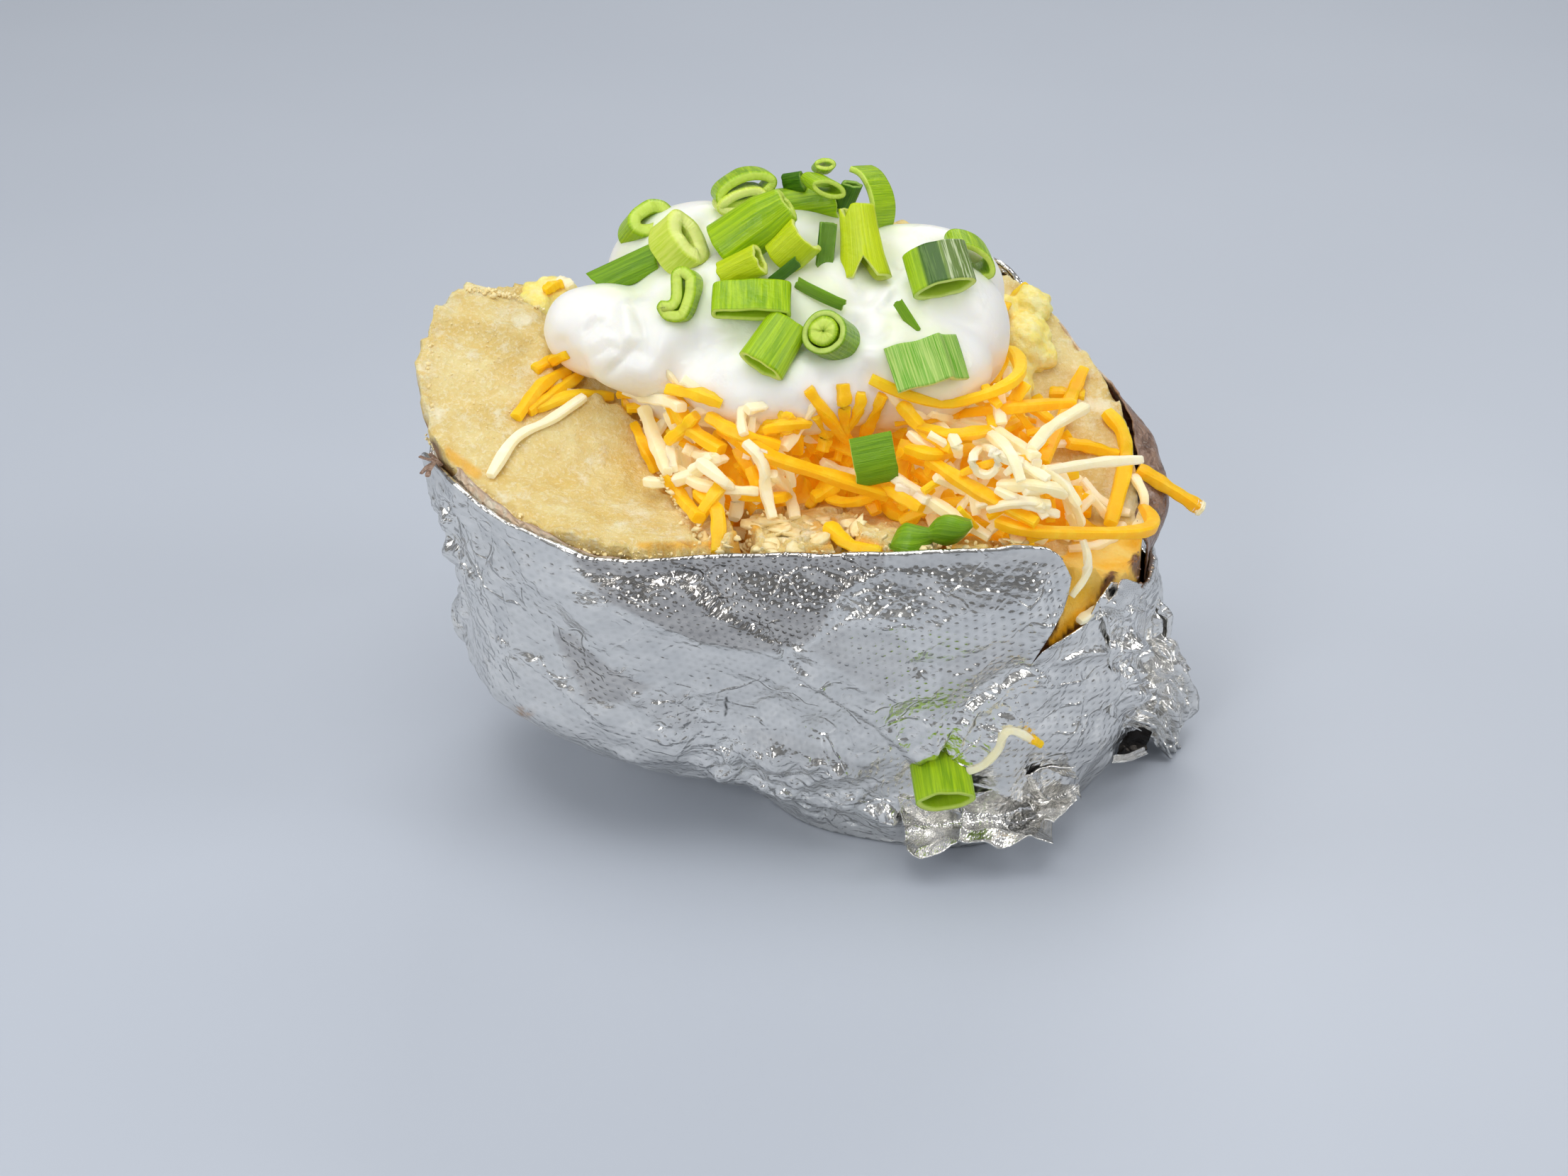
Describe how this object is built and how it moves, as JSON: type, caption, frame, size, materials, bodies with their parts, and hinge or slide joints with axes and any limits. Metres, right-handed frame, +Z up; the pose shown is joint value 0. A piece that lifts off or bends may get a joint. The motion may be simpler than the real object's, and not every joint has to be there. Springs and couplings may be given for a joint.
{
  "type": "loaded baked potato",
  "caption": "Baked potato cut open in its foil, topped with butter, grated cheese, sour cream and cut scallions.",
  "frame": {"origin": "under the middle of the whole, on the plane that the foil rests on", "axes": "+X along the potato's long axis, towards the foil's crumpled end; +Y towards the back, where the flesh stands highest; +Z up"},
  "size_m": [0.1337, 0.0848, 0.1056],
  "materials": {
    "foil": "embossed household foil, wrinkled, bright with dull folds",
    "flesh": "moist baked potato flesh, fine grained",
    "skin": "baked potato skin, brown, wrinkled, slightly glossy",
    "cheese": "grated orange cheese, soft edges, slight oily sheen",
    "white_cheese": "grated white cheese, soft edges",
    "butter": "crushed soft butter",
    "sour_cream": "smooth wet sour cream",
    "scallion": "fresh cut scallion, waxy green outside, paler inside"
  },
  "bodies": {
    "root": {"foil": "foil", "potato": "flesh", "cheese_heap": "cheese", "sour_cream": "sour_cream", "butter_right": "butter", "butter_left": "butter", "scallion_01": "scallion", "scallion_02": "scallion", "scallion_03": "scallion", "scallion_04": "scallion", "scallion_05": "scallion", "scallion_06": "scallion", "scallion_07": "scallion", "scallion_08": "scallion", "scallion_09": "scallion", "scallion_10": "scallion", "scallion_11": "scallion", "scallion_12": "scallion", "scallion_13": "scallion", "scallion_14": "scallion", "scallion_15": "scallion", "scallion_16": "scallion", "scallion_17": "scallion", "scallion_18": "scallion", "scallion_19": "scallion", "scallion_20": "scallion", "scallion_21": "scallion", "scallion_22": "scallion", "scallion_23": "scallion", "scallion_24": "scallion", "scallion_25": "scallion", "scallion_26": "scallion"}
  },
  "joints": []
}
